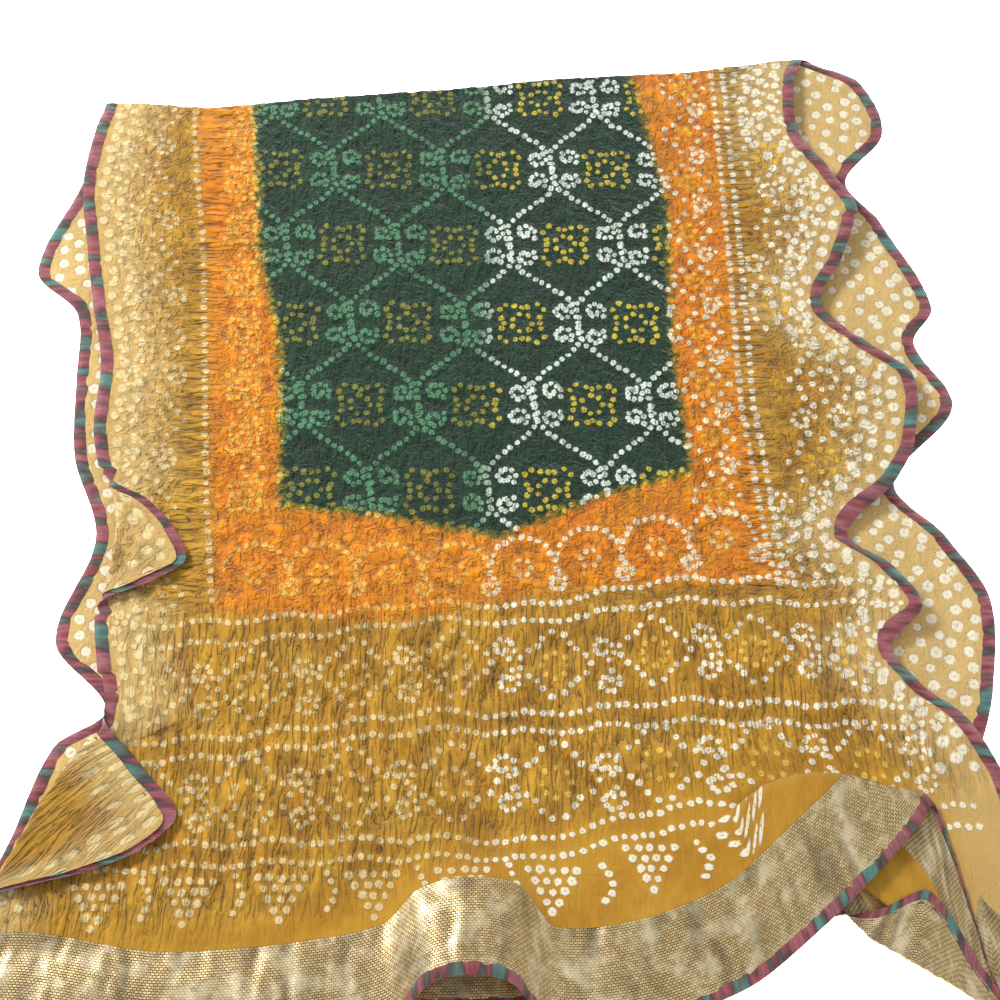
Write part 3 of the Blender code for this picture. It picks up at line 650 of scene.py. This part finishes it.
def add_dots(piece, flat, quads, dots):
    """Gives each face its nearest dot: the way to it in millimetres, its size and its tint."""
    points = flat.reshape(-1, 2)
    middles = points[quads].mean(axis=1)
    table = np.array(dots)
    found = nearest_dots(dots, middles)
    ways = (points[quads] - table[found][:, None, :2]) * 1000
    made = piece.data.uv_layers.new(name="dot_way")
    made.data.foreach_set("uv", ways.reshape(-1).astype(np.float32))
    kinds = np.repeat(table[found][:, None, 2:], 4, axis=1) * (1000, 1)
    made = piece.data.uv_layers.new(name="dot_kind")
    made.data.foreach_set("uv", kinds.reshape(-1).astype(np.float32))


def linear(text):
    """An sRGB colour such as C9921E as linear red, green, blue and alpha."""
    parts = [int(text[place:place + 2], 16) / 255 for place in (0, 2, 4)]
    return (*[part / 12.92 if part <= 0.04045 else ((part + 0.055) / 1.055) ** 2.4 for part in parts], 1.0)


def add(tree, kind, inputs, out=0, **settings):
    """Adds a node with its settings; an input is a value or the socket that feeds it."""
    made = tree.nodes.new("ShaderNode" + kind)
    for key, value in settings.items():
        setattr(made, key, value)
    for key, value in inputs.items():
        if isinstance(value, bpy.types.NodeSocket):
            tree.links.new(value, made.inputs[key])
        else:
            made.inputs[key].default_value = value
    return made.outputs[out] if made.outputs else made


def new_material(name):
    made = bpy.data.materials.new(name)
    made.use_nodes = True
    made.node_tree.nodes.clear()
    return made, made.node_tree


def blend(tree, part, a, b):
    return add(tree, "Mix", {0: part, 6: a, 7: b}, out=2, data_type="RGBA")


def ramp(tree, value, low, high):
    """0 at low and 1 at high, softly between."""
    return add(tree, "MapRange", {0: value, 1: low, 2: high}, interpolation_type="SMOOTHSTEP")


def finish_material(tree, inputs):
    shader = add(tree, "BsdfPrincipled", inputs)
    add(tree, "OutputMaterial", {"Surface": shader})


def georgette():
    """Crepe georgette, silk or a copy of it: matt, a little sheen, dyed mustard, orange and dark green,
    with undyed rings where it was tied, painted shade in the folds between the puckers and painted light
    on their ridges, and the mustard painted paler where light from below would show through the georgette."""
    made, tree = new_material("tie_dyed_georgette")
    place = add(tree, "UVMap", {}, uv_map="cloth_mm")
    way = add(tree, "UVMap", {}, uv_map="dot_way")
    kind = add(tree, "SeparateXYZ", {0: add(tree, "UVMap", {}, uv_map="dot_kind")})
    kind_node = kind.node
    radius = kind_node.outputs[0]
    tint = kind_node.outputs[1]
    green = add(tree, "Attribute", {}, out=2, attribute_name="green_mm")
    orange = add(tree, "Attribute", {}, out=2, attribute_name="orange_mm")
    side = add(tree, "Attribute", {}, out=2, attribute_name="side")
    crease_and_painted_shade = add(tree, "Attribute", {}, out=2, attribute_name="crease_and_painted_shade")
    light_through_sheer = add(tree, "Attribute", {}, out=2, attribute_name="light_through_sheer")
    rag = add(tree, "TexNoise", {"Vector": place, "Scale": 0.16, "Detail": 4.0, "Roughness": 0.7})
    blotch = add(tree, "TexNoise", {"Vector": place, "Scale": 0.022, "Detail": 3.0})
    fine = add(tree, "TexNoise", {"Vector": place, "Scale": 0.42, "Detail": 3.0, "Roughness": 0.65})
    weave = add(tree, "TexNoise", {"Vector": place, "Scale": 2.6, "Detail": 2.0})
    shift = add(tree, "MapRange", {0: rag, 1: 0.2, 2: 0.8, 3: -9.0, 4: 9.0})
    green_edge = add(tree, "Math", {0: green, 1: shift}, operation="ADD")
    orange_edge = add(tree, "Math", {0: orange, 1: shift}, operation="ADD")
    mustard = blend(tree, ramp(tree, blotch, 0.35, 0.65), linear("CF9A2A"), linear("BC861E"))
    # Painted light: the mustard is painted paler by how much light from below would show through the georgette.
    mustard = blend(tree, light_through_sheer, mustard, linear("DDBB78"))
    flame = blend(tree, ramp(tree, blotch, 0.3, 0.7), linear("F59A0A"), linear("EE8602"))
    cloth = blend(tree, ramp(tree, orange_edge, -9.0, 7.0), mustard, flame)
    cloth = blend(tree, ramp(tree, green_edge, -7.0, 0.5), cloth, linear("77791A"))
    leaf = blend(tree, ramp(tree, fine, 0.35, 0.7), linear("12301F"), linear("234A30"))
    cloth = blend(tree, ramp(tree, green_edge, -1.5, 4.0), cloth, leaf)
    in_green = ramp(tree, green_edge, -2.0, 3.0)
    in_orange = ramp(tree, orange_edge, -2.0, 4.0)
    plain = blend(tree, side, linear("F3E0A8"), linear("FBF0D2"))
    frame_dot = blend(tree, side, linear("FFD064"), linear("FCEBC4"))
    field_dot = blend(tree, side, linear("69A87A"), linear("E6F0E2"))
    dot = blend(tree, in_orange, plain, frame_dot)
    dot = blend(tree, in_green, dot, field_dot)
    gold = blend(tree, side, linear("A49A2C"), linear("D2BC34"))
    gold = blend(tree, in_green, linear("F0BC1C"), gold)
    dot = blend(tree, tint, dot, gold)
    length = add(tree, "VectorMath", {0: way}, out=1, operation="LENGTH")
    apart = add(tree, "Math", {0: length, 1: radius}, operation="DIVIDE")
    wobble = add(tree, "MapRange", {0: fine, 1: 0.2, 2: 0.8, 3: -0.34, 4: 0.34})
    apart = add(tree, "Math", {0: apart, 1: wobble}, operation="ADD")
    ring = add(tree, "MapRange", {0: apart, 1: 1.04, 2: 0.78}, interpolation_type="SMOOTHSTEP")
    hole = add(tree, "MapRange", {0: apart, 1: 0.24, 2: 0.04, 4: 0.75}, interpolation_type="SMOOTHSTEP")
    solid = add(tree, "Math", {0: 1.0, 1: hole}, operation="SUBTRACT")
    strength = add(tree, "MapRange", {0: side, 1: 0.0, 2: 1.0, 3: 0.66, 4: 0.96})
    shown = add(tree, "Math", {0: ring, 1: solid}, operation="MULTIPLY")
    shown = add(tree, "Math", {0: shown, 1: strength}, operation="MULTIPLY")
    colour = blend(tree, shown, cloth, dot)
    pleated = add(tree, "Attribute", {}, out=2, attribute_name="pleated")
    beside = add(tree, "Attribute", {}, out=2, attribute_name="beside")
    depth = add(tree, "Attribute", {}, out=2, attribute_name="depth")
    folds = []
    for squeeze, bend in (((0.115, 0.115, 1.0), 0.9), ((0.150, 0.030, 1.0), 0.35), ((0.030, 0.150, 1.0), 0.35)):
        turned = add(tree, "Mapping", {"Vector": place, "Scale": squeeze})
        wrinkle = add(tree, "TexNoise", {"Vector": turned, "Scale": 1.0, "Detail": 2.5, "Distortion": bend})
        off = add(tree, "Math", {0: wrinkle, 1: 0.5}, operation="SUBTRACT")
        folds.append(add(tree, "Math", {0: off}, operation="ABSOLUTE"))
    puffs = add(tree, "Mix", {0: pleated, 2: folds[0], 3: folds[1]})
    puffs = add(tree, "Mix", {0: beside, 2: puffs, 3: folds[2]})
    # Painted shade: the grooves between the puffs and the low creases darken the colour; the high creases and dot peaks
    # are painted lighter.
    painted_groove_shade = add(tree, "MapRange", {0: puffs, 1: 0.034, 2: 0.0}, interpolation_type="SMOOTHSTEP")
    painted_groove_shade = add(tree, "Math", {0: painted_groove_shade, 1: depth}, operation="MULTIPLY")
    shade = add(tree, "MapRange", {0: crease_and_painted_shade, 1: -0.75, 2: 0.45, 3: 0.58, 4: 1.10})
    shade = add(tree, "Math", {0: painted_groove_shade, 1: -0.52, 2: shade}, operation="MULTIPLY_ADD")
    colour = add(tree, "VectorMath", {0: colour, "Scale": shade}, operation="SCALE")
    swollen = add(tree, "MapRange", {0: puffs, 1: 0.0, 2: 0.11, 4: 1.6})
    swollen = add(tree, "Math", {0: swollen, 1: depth}, operation="MULTIPLY")
    raised_dot = add(tree, "Math", {0: ring, 1: 0.7, 2: swollen}, operation="MULTIPLY_ADD")
    rough_up = add(tree, "Math", {0: fine, 1: 0.6, 2: raised_dot}, operation="MULTIPLY_ADD")
    rough_up = add(tree, "Math", {0: weave, 1: 0.25, 2: rough_up}, operation="MULTIPLY_ADD")
    normal = add(tree, "Bump", {"Height": rough_up, "Strength": 0.85, "Distance": 0.0019})
    finish_material(tree, {"Base Color": colour, "Roughness": 0.78, "Sheen Weight": 0.25, "Sheen Roughness": 0.5,
                           "Specular IOR Level": 0.25, "Normal": normal})
    return made


def striped_satin():
    """Satin ribbon with uneven cross stripes: dusty pink, crimson, teal and brown, softly shiny, with painted shade and
    light where it is gathered.
    """
    made, tree = new_material("striped_satin")
    place = add(tree, "UVMap", {}, uv_map="ribbon_mm")
    squeezed = add(tree, "Mapping", {"Vector": place, "Scale": (0.040, 0.010, 1.0)})
    stripe = add(tree, "TexNoise", {"Vector": squeezed, "Scale": 1.0, "Detail": 2.0, "Roughness": 0.6})
    colours = tree.nodes.new("ShaderNodeValToRGB")
    stops = [(0.30, "35606A"), (0.38, "4F8478"), (0.43, "4E5A50"), (0.47, "3B2A28"), (0.50, "8E2C38"),
             (0.56, "A05A62"), (0.63, "7C303C"), (0.70, "4F8478")]
    for number, (where, shade) in enumerate(stops):
        point = colours.color_ramp.elements[number] if number < 2 else colours.color_ramp.elements.new(where)
        point.position = where
        point.color = linear(shade)
    tree.links.new(stripe, colours.inputs[0])
    ribs = add(tree, "Mapping", {"Vector": place, "Scale": (0.45, 0.06, 1.0)})
    gathers_bump_and_shade = add(tree, "TexNoise", {"Vector": ribs, "Scale": 1.0, "Detail": 3.0})
    threads = add(tree, "TexNoise", {"Vector": place, "Scale": 2.4, "Detail": 1.0})
    # Painted shade and light: the gathering noise darkens and lightens the stripe colour, as well as bumping the
    # surface.
    shade = add(tree, "MapRange", {0: gathers_bump_and_shade, 1: 0.35, 2: 0.6, 3: 0.62, 4: 1.12})
    colour = add(tree, "VectorMath", {0: colours.outputs[0], "Scale": shade}, operation="SCALE")
    height = add(tree, "Math", {0: gathers_bump_and_shade, 1: threads, 2: 0.2}, operation="MULTIPLY_ADD")
    normal = add(tree, "Bump", {"Height": height, "Strength": 0.7, "Distance": 0.0016})
    finish_material(tree, {"Base Color": colour, "Roughness": 0.42, "Sheen Weight": 0.3, "Normal": normal})
    return made


def gold_zari():
    """Woven metal thread: rows of small gold beads set like bricks on a brown ground, creased across, with broad light
    cream patches of painted highlight and painted shade in its creases.
    """
    made, tree = new_material("gold_zari")
    place = add(tree, "UVMap", {}, uv_map="band_mm")
    beads = add(tree, "TexBrick", {"Vector": place, "Scale": 1.0, "Mortar Size": 0.36, "Mortar Smooth": 0.75,
                                   "Brick Width": 3.0, "Row Height": 1.9, "Color1": linear("E0CB98"),
                                   "Color2": linear("C4A670"), "Mortar": linear("5E4020")})
    gaps = beads.node.outputs[1]
    # Painted highlight: broad light cream patches, placed by noise, laid over the beads.
    soft = add(tree, "TexNoise", {"Vector": place, "Scale": 0.05, "Detail": 3.0, "Roughness": 0.6})
    beads_with_painted_highlight = blend(tree, add(tree, "MapRange", {0: soft, 1: 0.48, 2: 0.66, 4: 0.65}), beads, linear("F0E2BE"))
    # Painted shade: low creases darken the band's colour, and its high creases are painted a little lighter.
    crease_and_painted_shade = add(tree, "Attribute", {}, out=2, attribute_name="crease_and_painted_shade")
    shade = add(tree, "MapRange", {0: crease_and_painted_shade, 1: -0.8, 2: 0.3, 3: 0.5, 4: 1.05})
    colour = add(tree, "VectorMath", {0: beads_with_painted_highlight, "Scale": shade}, operation="SCALE")
    normal = add(tree, "Bump", {"Height": gaps, "Strength": 0.8, "Distance": -0.0005})
    finish_material(tree, {"Base Color": colour, "Metallic": 0.55, "Roughness": 0.36, "Normal": normal})
    return made


def ribbon_maps(grid, along_rows):
    """Millimetres along and across a ribbon."""
    middle = grid[:, grid.shape[1] // 2] if along_rows else grid[grid.shape[0] // 2]
    run = np.concatenate([[0], np.cumsum(np.linalg.norm(np.diff(middle, axis=0), axis=1))]) * 1000
    if along_rows:
        step = np.linalg.norm(np.diff(grid, axis=1), axis=2)
        across = np.concatenate([np.zeros((grid.shape[0], 1)), np.cumsum(step, axis=1)], axis=1) * 1000
        return np.stack([np.repeat(run[:, None], grid.shape[1], axis=1), across], axis=2)
    step = np.linalg.norm(np.diff(grid, axis=0), axis=2)
    across = np.concatenate([np.zeros((1, grid.shape[1])), np.cumsum(step, axis=0)], axis=0) * 1000
    return np.stack([np.repeat(run[None], grid.shape[0], axis=0), across], axis=2)


def binding(name, grid, normals, along_rows, surface):
    """A bound edge: a narrow ribbon, puffed along its middle and gathered crosswise."""
    maps = ribbon_maps(grid, along_rows)
    count = grid.shape[1] if along_rows else grid.shape[0]
    place = np.linspace(0, 1, count)
    place = place[None, :] if along_rows else place[:, None]
    puff = 0.0012 * np.sin(math.pi * place)
    gather = 0.0007 * noise(maps[..., 0] / 3.4, maps[..., 1] / 9.0, 11)
    raised = grid + normals * (0.0007 + puff + gather)[..., None]
    piece, _ = grid_piece(name, raised, surface, {"ribbon_mm": maps})
    return piece


def band(name, grid, normals, surface):
    """A gold band, creased across where the ends gather it; the heights of its creases also give the painted shade in
    its colour.
    """
    maps = ribbon_maps(grid, False)
    x = maps[..., 0]
    y = maps[..., 1]
    crease_and_painted_shade = 0.7 * (1 - 2 * np.abs(noise(x / 13.0 + 0.3 * noise(x / 21, y / 17, 12), y / 46.0, 13))) + 0.3 * noise(x / 6, y / 20, 14)
    raised = grid + normals * (0.0006 + 0.0011 * crease_and_painted_shade)[..., None]
    piece, _ = grid_piece(name, raised, surface, {"band_mm": maps}, {"crease_and_painted_shade": crease_and_painted_shade})
    return piece


def cloth_piece(name, grid, normals, flat, dots, surface, light_through_sheer):
    height, peak, along_way, beside, depth = pucker(flat, dots)
    raised = grid + normals * (0.0004 + 0.0017 * height + 0.0010 * peak)[..., None]
    x = flat[..., 0]
    y = flat[..., 1]
    values = {
        "green_mm": 1000 * distance_inside(GREEN_AREA, x, y),
        "orange_mm": 1000 * distance_inside(ORANGE_AREA, x, y),
        "side": smooth((x + 0.022) / 0.024),
        # Height of the creases and dot peaks, from which the material paints shade into the valleys and light onto the
        # ridges.
        "crease_and_painted_shade": height + 0.5 * peak,
        # How much paler the mustard is painted, as light showing through the georgette.
        "light_through_sheer": light_through_sheer,
        "pleated": along_way,
        "beside": beside,
        "depth": depth,
    }
    piece, quads = grid_piece(name, raised, surface, {"cloth_mm": flat * 1000}, values)
    add_dots(piece, flat, quads, dots)
    return piece


def build():
    top, top_flat = layer(TOP_LEFT, TOP_RIGHT, TOP_ROWS, TOP_MIDDLE, True)
    under, under_flat = layer(UNDER_LEFT, UNDER_RIGHT, UNDER_ROWS, FLOOR_MIDDLE, False)
    top_end, top_end_flat = end_part(TOP_END, top[-1], top_flat[-1], TOP_MIDDLE, END_ROWS)
    under_end, under_end_flat = end_part(UNDER_END, under[-1], under_flat[-1], FLOOR_MIDDLE, UNDER_END_ROWS)
    bend = round_fold(under[0], top[0])
    bend_flat = np.stack([top_flat[0] + (0, 0.0009 * (FOLD_ROWS - step)) for step in range(FOLD_ROWS)])
    lower_rows = under_end.shape[0] + under.shape[0]
    grid = np.concatenate([under_end[::-1], under[::-1], bend, top, top_end])
    flat = np.concatenate([under_end_flat[::-1], under_flat[::-1], bend_flat, top_flat, top_end_flat])
    grid = grid - (MIDDLE[0], MIDDLE[1], 0)
    facing = np.concatenate([
        np.full(lower_rows, -1.0),
        np.linspace(-0.8, 0.8, FOLD_ROWS),
        np.full(len(grid) - lower_rows - FOLD_ROWS, 1.0),
    ])
    normals = grid_normals(grid) * facing[:, None, None]

    dots = Dots()
    green_pattern(dots)
    inside = np.array(dots.rows)
    keep = distance_inside(GREEN_AREA, inside[:, 0], inside[:, 1]) > -0.004
    dots.rows = [row for row, kept in zip(dots.rows, keep) if kept]
    frame_pattern(dots)
    side_pattern(dots)
    end_pattern(dots)
    top_dots = dots.rows

    rims = Dots()
    for rows, side in ((UNDER_LEFT, 1), (UNDER_RIGHT, -1)):
        for number, y in enumerate(np.arange(-0.44, 0.44, 0.0135)):
            for column, inward in enumerate((0.018, 0.031, 0.046, 0.060, 0.075)):
                place = float(edge_on_flat(rows, np.array(y)))
                rims.add(place + side * (inward + 0.003 * math.sin(number * 1.7 + column)), y + 0.0067 * (column % 2),
                         RING_RADIUS if column < 3 else 0.004)

    cloth_surface = georgette()
    satin = striped_satin()
    zari = gold_zari()
    first = BINDING_COLUMNS
    last = grid.shape[1] - BINDING_COLUMNS
    inner = slice(first, last)
    end_count = BAND_ROWS + 1 + BINDING_COLUMNS
    total = grid.shape[0]
    x = flat[..., 0]
    y = flat[..., 1]
    # Painted light through the georgette: the top layer is painted paler near its left and right edges.
    edge_light_through = 1 - smooth((x - edge_on_flat(TOP_LEFT, y) - 0.03) / 0.05) * smooth((edge_on_flat(TOP_RIGHT, y) - 0.02 - x) / 0.07)
    edge_light_through = 0.75 * edge_light_through

    over = slice(lower_rows, total - end_count + 1)
    below = slice(end_count - 1, lower_rows + 1)
    inner = slice(first - TUCK, last + TUCK)
    top_band = slice(total - end_count, total - BINDING_COLUMNS + TUCK)
    lower_band = slice(BINDING_COLUMNS - TUCK, end_count)
    made = {}
    made["cloth_top"] = cloth_piece("cloth_top", grid[over, inner], normals[over, inner], flat[over, inner], top_dots,
                                    cloth_surface, edge_light_through[over, inner])
    lobes = flat[below, inner].copy()
    # Painted light through the georgette: the lower layer's lobes are painted paler all over.
    under_light_through = np.full(lobes.shape[:2], 0.9)
    made["cloth_under"] = under_piece(grid[below, inner], normals[below, inner], lobes, rims.rows, cloth_surface, under_light_through)
    made["band_top"] = band("band_top_woven", grid[top_band, inner], normals[top_band, inner], zari)
    made["band_under"] = band("band_under_woven", grid[lower_band, inner][::-1], normals[lower_band, inner][::-1], zari)
    made["end_top"] = binding("binding_end_top_ribbon", grid[total - BINDING_COLUMNS:, inner],
                              normals[total - BINDING_COLUMNS:, inner], False, satin)
    made["end_under"] = binding("binding_end_under_ribbon", grid[:BINDING_COLUMNS, inner],
                                normals[:BINDING_COLUMNS, inner], False, satin)
    made["left"] = binding("binding_left_ribbon", grid[:, :first], normals[:, :first], True, satin)
    made["right"] = binding("binding_right_ribbon", grid[:, last:], normals[:, last:], True, satin)
    return made


def under_piece(grid, normals, flat, dots, surface, light_through_sheer):
    """The lower layer: only its lobes show, softly waved, with big dots round their rims."""
    x = flat[..., 0]
    y = flat[..., 1]
    soft = 0.5 * noise(x / 0.016, y / 0.020, 21) + 0.4 * noise(x / 0.006, y / 0.007, 22)
    raised = grid + normals * (0.0004 + 0.0007 * (soft + 1) / 2)[..., None]
    values = {
        "green_mm": 1000 * distance_inside(GREEN_AREA, x, y),
        "orange_mm": 1000 * distance_inside(ORANGE_AREA, x, y),
        "side": np.ones(x.shape),
        # Height of the soft waves, from which the material paints shade into their hollows and light onto their tops.
        "crease_and_painted_shade": 0.4 * soft + 0.2,
        # How much paler the mustard is painted, as light showing through the georgette.
        "light_through_sheer": light_through_sheer,
        "pleated": np.full(x.shape, 0.3),
        "beside": np.zeros(x.shape),
        "depth": np.full(x.shape, 0.25),
    }
    piece, quads = grid_piece("cloth_under", raised, surface, {"cloth_mm": flat * 1000}, values)
    add_dots(piece, flat, quads, dots)
    return piece


pieces = build()
NODES = {
    "cloth_top": ("cloth", "puckered_georgette", (0.62, 0.72)),
    "cloth_under": ("cloth", "puckered_georgette", (0.66, 0.72)),
    "band_top": ("band_top", "gold_zari", (0.060, 0.80)),
    "band_under": ("band_under", "gold_zari", (0.060, 0.80)),
    "end_top": ("binding_end_top", "striped_satin", (0.012, 0.85)),
    "end_under": ("binding_end_under", "striped_satin", (0.012, 0.85)),
    "left": ("binding_left", "striped_satin", (0.014, 1.85)),
    "right": ("binding_right", "striped_satin", (0.014, 1.85)),
}
for key, (node, slot, size) in NODES.items():
    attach(pieces[key], "root")
    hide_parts(node)

bpy.ops.object.select_all(action="DESELECT")
bpy.ops.mesh.primitive_plane_add(size=8, location=(0, 0, -0.0005))
floor = bpy.context.object
floor.name = "studio_floor"
paper = bpy.data.materials.new("white_paper")
paper.use_nodes = True
paper.node_tree.nodes["Principled BSDF"].inputs["Base Color"].default_value = linear("F7F7F7")
paper.node_tree.nodes["Principled BSDF"].inputs["Roughness"].default_value = 0.9
paper.node_tree.nodes["Principled BSDF"].inputs["Emission Color"].default_value = (1, 1, 1, 1)
paper.node_tree.nodes["Principled BSDF"].inputs["Emission Strength"].default_value = 3.0
floor.data.materials.append(paper)

bpy.context.scene.view_settings.view_transform = "Standard"
world = bpy.data.worlds.new("studio")
world.use_nodes = True
world.node_tree.nodes["Background"].inputs["Color"].default_value = (1, 1, 1, 1)
world.node_tree.nodes["Background"].inputs["Strength"].default_value = 0.55
bpy.context.scene.world = world


def soft_light(name, place, turn, size, power):
    light = bpy.data.lights.new(name, "AREA")
    light.size = size
    light.energy = power
    made = bpy.data.objects.new(name, light)
    made.location = place
    made.rotation_euler = [math.radians(angle) for angle in turn]
    bpy.context.collection.objects.link(made)


soft_light("window_light", (-1.3, 0.9, 1.5), (-38, -35, 0), 0.6, 44)
soft_light("fill_light", (1.4, -0.8, 1.6), (25, 38, 0), 1.4, 8)

camera_data = bpy.data.cameras.new("camera")
camera_data.lens = 70.2
camera_data.sensor_width = 36
camera = bpy.data.objects.new("camera", camera_data)
camera.location = (-MIDDLE[0], -0.6795 - MIDDLE[1], 1.3931)
camera.rotation_euler = (math.radians(26), 0, 0)
bpy.context.collection.objects.link(camera)
bpy.context.scene.camera = camera
